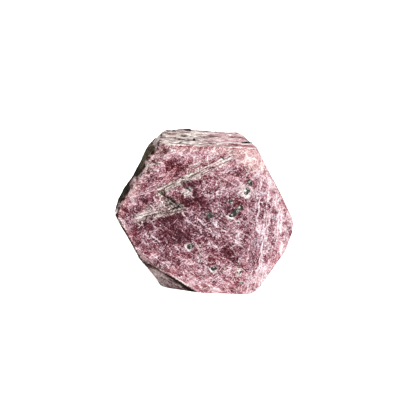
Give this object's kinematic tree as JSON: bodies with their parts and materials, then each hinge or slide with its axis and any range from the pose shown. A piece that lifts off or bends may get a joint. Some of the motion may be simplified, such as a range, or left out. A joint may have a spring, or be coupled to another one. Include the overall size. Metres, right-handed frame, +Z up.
{
  "type": "ruby crystal",
  "caption": "Rough tabular ruby crystal: an opaque six-sided tablet standing on a flat prism face, its broad basal face to the front, with one knocked-off corner.",
  "frame": {"origin": "middle of the crystal's box, on the surface it stands on", "axes": "+Z up, -Y out of the broad basal face, +X across the crystal's widest corners, to the right when the basal face is seen"},
  "size_m": [0.0338, 0.012, 0.0294],
  "materials": {
    "ruby": "opaque, cloudy mauve-red, crackled, with a faint glassy shine",
    "dark_mineral": "dark grains of another mineral, seated in the surface"
  },
  "bodies": {
    "root": {"ruby_crystal": "ruby"}
  },
  "joints": []
}
